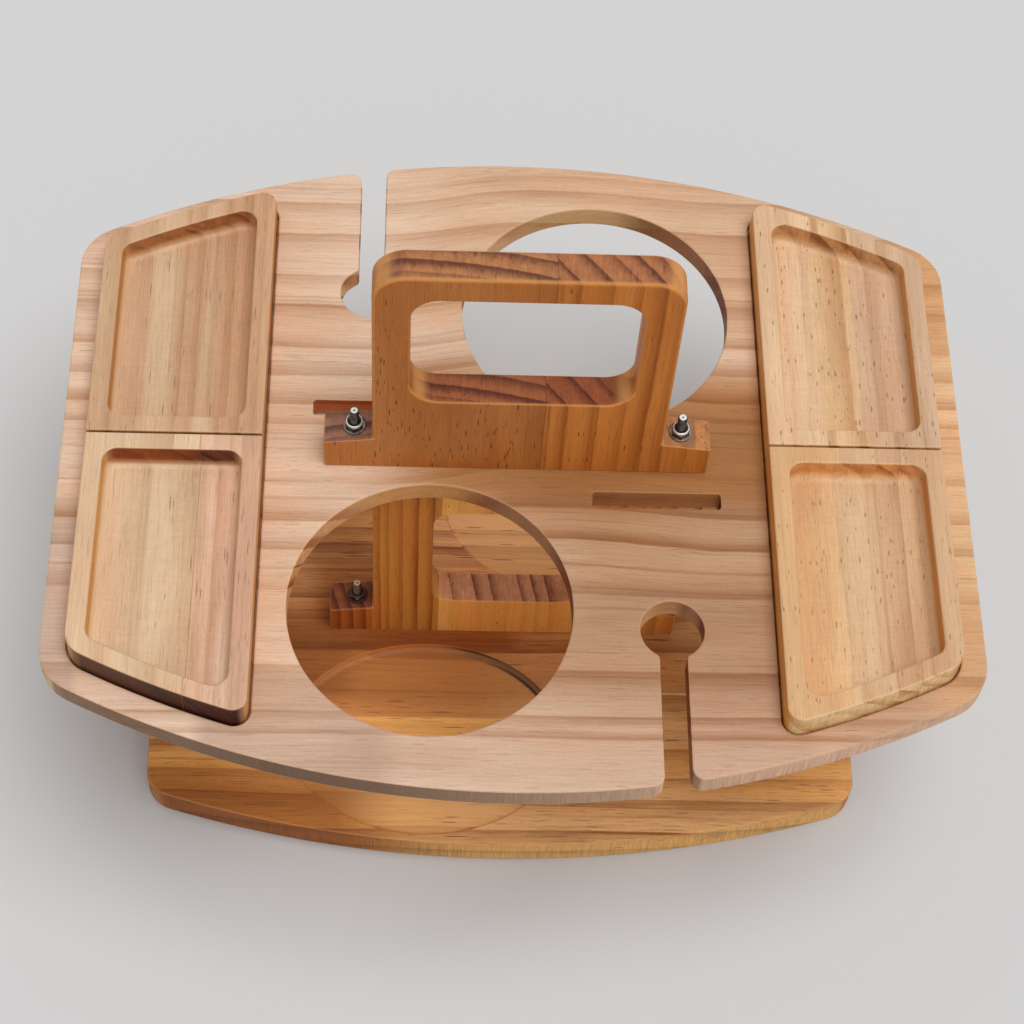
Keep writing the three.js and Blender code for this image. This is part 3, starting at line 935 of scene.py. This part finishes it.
basePine = pine("basePine", {
    "axes": "xyz", "face": 15, "seed": 2.0, "wander": (170, 50, 4.0),
    "staves": [
        {"upTo": -38, "lean": (1, 0.9), "tint": "#ffffff",
         "rings": randomRings(21, -130, -20, 13, 0.8, -1)},
        {"upTo": 34, "lean": (1, -0.8), "tint": "#e8ddd5", "glue": 0.3,
         "rings": randomRings(22, -60, 50, 15, 0.65, 1)},
        {"upTo": 200, "lean": (1, 0.9), "tint": "#ede4e2", "glue": 0.3,
         "rings": randomRings(23, 20, 130, 13, 0.8, -1)}],
    "pale": "#ffc484", "blush": "#f4b168", "dark": "#a05c24", "walls": "#ee9c54",
    "endPale": "#d08a48", "endDark": "#7c4218", "fleck": "#7a431f", "fleckDepth": 0.75,
    "flecks": (11, 0.5, 0.12), "lines": 0.42, "streaks": 0.62, "fibre": 0.14, "hair": 0.4,
    "washes": [
        # painted shadow of the serving board over the front left of the base
        (upTo(-80, -40), upTo(-90, -75), "#bea47e", "faces"),
        (upTo(-20, 40), (-52, -51, -10, 20), "#ccb08e", "faces"),
        (upTo(-20, 40), (-92, -80, -52, -51), "#f1e4bf", "faces"),
        # painted shade in a thin band in front of the support frame
        ((-75, -60, 0, 15), (-18, -15, -8, -7), "#e5d3bf", "faces"),
        # painted shadow of the serving board on the base
        ((-130, -120, -78, -62), (-45, -36, -6, 0), "#e3ddda", "faces"),
        ((-95, -80, -60, -40), (-10, -2, 20, 40), "#dbc4ab", "faces")],
    "fleckPatches": [
        ((-78, -66, -16, -4), (-55, -50, -42, -37), 4.0),
        ((-34, -28, 4, 12), (-30, -28.5, -24, -22.5), 5.0),
        ((-12, -6, 30, 40), (-20, -18.5, -14, -12.5), 5.0),
        ((-90, -70, 90, 110), (20, 30, 60, 70), 0.3)],
    # the cove colour of the rests is a painted highlight, and their last colour is a painted shadow
    "rests": {"half": (62.5, 48), "centres": [(-35, -63), (35, 63)], "depth": 3, "crest": (-1.8, -1.1),
              "floor": "#f0ba78", "floorShare": 0.45, "cove": "#f4942c", "burn": "#2a1206"},
    "endFrom": (0.5, 0.9), "rim": 0.3, "rimToneAndHighlight": "#d99a5c", "rough": 0.48,
    # the sawn edge colour runs from painted shade on the left to painted light on the right
    "sawnHatchAndShade": {"left": "#ae6814", "right": "#f6c06f", "turn": (-75, -5), "share": 0.85,
             "bow": 520, "centre": 404},
    # painted shade on the walls that face left
    "leftWallShade": ("#4a2410", 0.85, 150),
})
handlePine = pine("handlePine", {
    "axes": "zxy", "face": 0, "seed": 3.0, "wander": (90, 40, 0.8),
    "staves": [
        {"upTo": 10, "lean": (0, 1), "bow": (-50, 0.0022), "tint": "#eee2d8", "flat": 0.6,
         "rings": [(-4, -4, 0.5), (1.8, -5, 0.95), (9.5, -6, 0.8), (16, -5, 0.7)]},
        {"upTo": 200, "lean": (1, 0.8), "tint": "#fff2dd", "glue": 0.55,
         "rings": [(6, -3, 0.5), (12.7, -5, 0.8), (25.2, -7, 0.8), (36, -5, 0.6), (45.2, -6, 0.9),
                   (54, -6, 0.7), (64, -7, 0.4), (73, -6, 0.35), (82, -6, 0.4)]}],
    "washes": [
        (between(195, 208), between(-60, 60), "#f0d4c8", "ends"),
        (between(195, 208), (8, 12, 59, 60), "#f2e3da", "ends"),
        (onFrom(270, 274), (8, 12, 90, 91), "#f5eced", "ends")],
    "stains": [
        (between(150, 181), between(-90, -60), "#8c6054", 0.7),
        (between(150, 181), between(68.5, 74), "#8e6446", 0.75),
        (between(150, 181), between(73.5, 78.5), "#d08850", 0.6),
        (onFrom(270, 274), (-62, -61, -52, -44), "#7c4c3c", 0.6)],
    "fleckPatches": [
        ((150, 160, 192, 208), (-64, -50, -8, 4), 1.7),
        ((205, 215, 250, 262), between(-62, -45), 0.9)],
    "lip": 0.8, "pale": "#dc9248", "blush": "#d2843a", "dark": "#a45a1a",
    "endPale": "#b47649", "endDark": "#683620", "fleck": "#682c10", "fleckDepth": 0.85,
    "flecks": (4.4, 0.46, 0.05), "lines": 0.25, "streaks": 0.5, "fibre": 0.14, "hair": 0.28,
    # the handle's rim colour is partly a painted highlight along its rounded edges
    "endFrom": (0.6, 0.92), "rim": 0.5, "rimToneAndHighlight": "#e4a45c", "rough": 0.45,
})
supportPine = pine("supportPine", {
    "axes": "zxy", "face": 0, "seed": 4.0, "wander": (90, 40, 0.9),
    "staves": [
        {"upTo": -30, "lean": (1, 0.35), "tint": "#d2c0a6",
         "rings": randomRings(41, -90, -20, 5.5, 1.0, -1)},
        {"upTo": 34, "lean": (1, 0.2), "tint": "#ffffff", "flat": 0.3,
         "rings": randomRings(42, -25, 45, 10, 0.9, 1)},
        {"upTo": 200, "lean": (1, -0.4), "tint": "#e4d4bc", "glue": 0.5,
         "rings": randomRings(43, 25, 95, 8, 0.8, -1)}],
    "washes": [(between(10, 61), between(-90, -60), "#e5cdc6", "faces")],
    "stains": [(between(20, 51), between(-90, -60), "#7c3c1c", 0.85)],
    "pale": "#ffb85e", "blush": "#fcaa52", "dark": "#b86422",
    "endPale": "#d6946a", "endDark": "#783f24", "fleck": "#7d3c18", "fleckDepth": 0.6,
    "flecks": (2.6, 0.45, 0.05), "lines": 0.2, "streaks": 0.35, "fibre": 0.08, "hair": 0.25,
    "endFrom": (0.6, 0.92), "rim": 0.35, "rimToneAndHighlight": "#d3924f", "rough": 0.46,
})


# the staves of the trays all lean alike
def trayStave(top, tint, rings, **others):
    return {"upTo": top, "lean": (1, 1.1), "tint": tint, "rings": rings, **others}


trayLook = {
    "axes": "yxz", "face": 157.9, "wander": (120, 30, 1.2), "lip": 1.2, "chatter": 0.2,
    "pale": "#eed4b8", "blush": "#e7c6a8", "dark": "#b8865a", "walls": "#ffe09c",
    "fleck": "#84512f", "fleckDepth": 0.6, "lines": 0.2, "streaks": 0.3, "fibre": 0.12, "hair": 0.22,
    "endGain": 1.9, "endFrom": (0.5, 0.85), "rim": 0.3, "rimToneAndHighlight": "#e0b78a", "rough": 0.46,
}
trayFinishes = {
    "front_left": {
        # painted shade: this tray's end grain is made dark for the shade on its front
        "seed": 5.0, "flecks": (6.5, 0.4, 0.06), "endPale": "#8a4e28", "endDark": "#46200e",
        "washes": [
            # painted shade on the front face
            (upTo(-80, -70), between(-190, -99), "#8a3c14", "ends"),
            (upTo(0, 1), between(-114.5, -99), "#ece2dd", "faces")],
        "stains": [
            (between(-15, 0), (-172, -168, -140, -128), "#a04c16", 0.55),
            (between(-15, 0), (-140, -128, -110, -109), "#5a2408", 0.5)],
        "fleckPatches": [(upTo(10, 11), (-133, -128, -90, -89), 0.22)],
        "staves": [
            trayStave(-131, "#f5ebdc", randomRings(51, -182, -136, 15, 0.35, -1)
                      + [(-134.6, -1.4, 0.6), (-132.6, -1.1, 0.75)]),
            trayStave(0, "#f8e8e2", randomRings(52, -140, -100, 7, 0.5, 1), glue=0.5)]},
    "back_left": {
        "seed": 6.0, "flecks": (7, 0.4, 0.16), "endPale": "#c08a58", "endDark": "#84502c",
        "washes": [(between(70, 141), between(-190, -99), "#f4dccc", "ends")],
        "staves": [
            trayStave(-157.5, "#e4d0bd", randomRings(61, -182, -150, 13, 0.3, -1)),
            trayStave(-145, "#ebdecd", randomRings(62, -165, -138, 13, 0.2, 1), blur=3),
            trayStave(-135, "#e2cdb8", randomRings(63, -150, -128, 7, 0.5, -1), blur=2.5),
            trayStave(-127.5, "#e7d8c9", randomRings(64, -140, -120, 9, 0.3, 1), blur=2.5),
            trayStave(0, "#e2c9b4", randomRings(65, -132, -98, 10, 0.4, -1), blur=2.5)]},
    "front_right": {
        "seed": 7.0, "flecks": (2.6, 0.52, 0.36), "fleckDepth": 0.55,
        "endPale": "#ffdca2", "endDark": "#c78749",
        "washes": [(between(-15, 0), between(100, 191), "#ecc4aa", "ends")],
        "staves": [
            trayStave(133, "#f6dfbc", randomRings(71, 100, 142, 15, 0.25, 1)),
            trayStave(150, "#f2e3cb", randomRings(72, 125, 158, 14, 0.35, 1), blur=1, edgeWander=0.6),
            trayStave(160.5, "#e5cfb8", randomRings(73, 142, 168, 11, 0.5, -1), blur=1),
            trayStave(300, "#e8d4bc", randomRings(74, 152, 188, 12, 0.3, 1), glue=0.35)]},
    "back_right": {
        "seed": 8.0, "flecks": (2.8, 0.55, 0.4), "fleckDepth": 0.65,
        "endPale": "#d9a670", "endDark": "#9b653d",
        "staves": [
            trayStave(131, "#fbeedc", randomRings(81, 100, 140, 14, 0.25, 1)),
            trayStave(148, "#f6e4c8", randomRings(82, 122, 156, 11, 0.6, -1), blur=1, edgeWander=0.6),
            trayStave(300, "#ebdccf", randomRings(83, 140, 188, 16, 0.45, 1), blur=1)]},
}
zinc = zincPlate("zincPlate", "#fbfbf8", "#dedcd6", 0.3, 0.46, 0.55)
# painted shade: the threads and nut bodies are darkened, and the handle washers dulled, for the shade on
# them
shadedZinc = zincPlate("shadedZinc", "#6a6560", "#3a3430", 0.3, 0.48, 1)
shadedWasherZinc = zincPlate("shadedWasherZinc", "#a89c90", "#706256", 0.36, 0.56, 0.65)
# painted shade and painted wood reflection: the base fasteners under the board get warm, darker finishes
tipZinc = zincPlate("tipZinc", "#ecd2ba", "#c8a890", 0.36, 0.5, 0.5)
paintedShadeZinc = zincPlate("paintedShadeZinc", "#6e5444", "#44322a", 0.36, 0.56, 0.65)
paintedShadeThread = zincPlate("paintedShadeThread", "#7c5a48", "#4c3428", 0.36, 0.5, 0.8)
nylon = darkNylon("darkNylon")
print("finishes mixed")

finishPiece(makeServingBoard(servingBoard), "frame", "top_board", boardPine)
print("serving board cut")

firstTray = makeTray("firstTray", snackTray, servingBoard)
for endWord, end in (("front", 1), ("back", -1)):
    for sideWord, side in (("right", 1), ("left", -1)):
        word = f"{endWord}_{sideWord}"
        tray = copyPiece(firstTray, f"snackTray_{word}", Matrix.Diagonal((side, end, 1, 1)))
        trayPine = pine(f"trayPine_{word}", {**trayLook, **trayFinishes[word]})
        finishPiece(tray, f"{word}_tray", f"tray_{word}", trayPine)
scrap(firstTray)
print("snack trays hollowed")

finishPiece(makeBase(baseBoard), "frame", "base_board", basePine)
finishPiece(makeHandle(uprights), "frame", "handle", handlePine)
finishPiece(makeSupport(uprights), "frame", "support_frame", supportPine)
print("base, handle and support done")

seatHeight = earSeat(uprights)
handleSeat = uprights["handleLow"] + seatHeight
upperEar = uprights["supportLow"] + uprights["supportHeight"] - seatHeight
baseSeat = uprights["supportLow"] + seatHeight
washerLow = fasteners["gap"]
nutLow = washerLow + fasteners["washer"] + fasteners["gap"]
tipHigh = nutLow + fasteners["nut"] + fasteners["proud"]
firstWasher = makeWasher("firstWasher", fasteners, 0, washerLow)
firstNut = makeNut("firstNut", fasteners, 0, nutLow)
handleHead = upperEar - fasteners["gap"]
for place, seat, headTop in (("handle", handleSeat, handleHead), ("base", baseSeat, fasteners["baseHead"])):
    firstBolt = makeBolt("firstBolt", fasteners, 0, headTop - seat, tipHigh)
    for sign, word in ((-1, "left"), (1, "right")):
        spot = Matrix.Translation((sign * fasteners["x"] * mm, 0, seat * mm))
        name = f"{place}_{word}"
        bolt = copyPiece(firstBolt, f"bolt_{name}_threaded", spot)
        washer = copyPiece(firstWasher, f"washer_{name}_flat", spot)
        nut = copyPiece(firstNut, f"nut_{name}_lock", spot)
        atHandle = place == "handle"
        boltFinish = [zinc, shadedZinc] if atHandle else [tipZinc, paintedShadeThread]
        nutFinish = [zinc if atHandle else paintedShadeZinc, shadedZinc, nylon]
        finishPiece(bolt, "frame", f"bolt_{name}", boltFinish)
        finishPiece(washer, "frame", f"washer_{name}", shadedWasherZinc if atHandle else paintedShadeZinc)
        finishPiece(nut, "frame", f"nut_{name}", nutFinish)
    scrap(firstBolt)
scrap(firstWasher)
scrap(firstNut)
print("fasteners turned")

# Floor, light and camera

studio = {
    "floorSize": 60.0, "floorDrop": -0.0002, "floor": "#d2d2d2", "sky": 0.43,
    "sunPower": 1.9, "sunFrom": (0.2, -0.16, 0.967), "sunSpread": 42,
}
camera = {"spot": (-43.2, -553.3, 1010.2), "aim": (-1.66, -28.59, 156.6), "roll": 5.006, "lens": 85.09}

deselectAll()
bpy.ops.mesh.primitive_plane_add(size=studio["floorSize"], location=(0, 0, studio["floorDrop"]))
floor = bpy.context.object
floor.name = "floor"
floorPaint, _, floorShader = newMaterial("floorPaint")
feed(floorShader, {"Base Color": studio["floor"], "Roughness": 0.9, "Specular IOR Level": 0.1})
floor.data.materials.append(floorPaint)

world = bpy.data.worlds.new("studio")
bpy.context.scene.world = world
world.use_nodes = True
tree = world.node_tree
skyLight = tree.nodes["Background"]
feed(skyLight, {"Color": "#ffffff", "Strength": studio["sky"]})
backdrop = tree.nodes.new("ShaderNodeBackground")  # what the camera and shiny metal see beyond the floor
feed(backdrop, {"Color": studio["floor"]})
rays = tree.nodes.new("ShaderNodeLightPath").outputs
seen = calc("MAXIMUM", rays["Is Camera Ray"], rays["Is Glossy Ray"])
seen = calc("MAXIMUM", seen, rays["Is Transmission Ray"])
choice = tree.nodes.new("ShaderNodeMixShader")
mixed = fill(choice, seen, skyLight.outputs[0], backdrop.outputs[0])
feed(tree.nodes["World Output"], {"Surface": mixed})

sun = bpy.data.lights.new("key", "SUN")
sun.energy = studio["sunPower"]
sun.angle = math.radians(studio["sunSpread"])
sunLamp = bpy.data.objects.new("key", sun)
sunLamp.rotation_euler = Vector(studio["sunFrom"]).to_track_quat("Z", "Y").to_euler()
putIn(sunLamp)

spot, aim = Vector(camera["spot"]) * mm, Vector(camera["aim"]) * mm
forward = (aim - spot).normalized()
right = forward.cross(Vector((0, 0, 1))).normalized()
up = right.cross(forward)
roll = math.radians(camera["roll"])
rightRolled = right * math.cos(roll) + up * math.sin(roll)
upRolled = up * math.cos(roll) - right * math.sin(roll)
lens = bpy.data.cameras.new("camera")
lens.lens = camera["lens"]
lens.sensor_width = 36
lens.clip_start, lens.clip_end = 0.01, 50
viewer = bpy.data.objects.new("camera", lens)
axes = Matrix((rightRolled, upRolled, -forward)).transposed().to_4x4()
viewer.matrix_world = Matrix.Translation(spot) @ axes
putIn(viewer)
bpy.context.scene.camera = viewer
bpy.context.scene.view_settings.view_transform = "Standard"
print("studio lit")
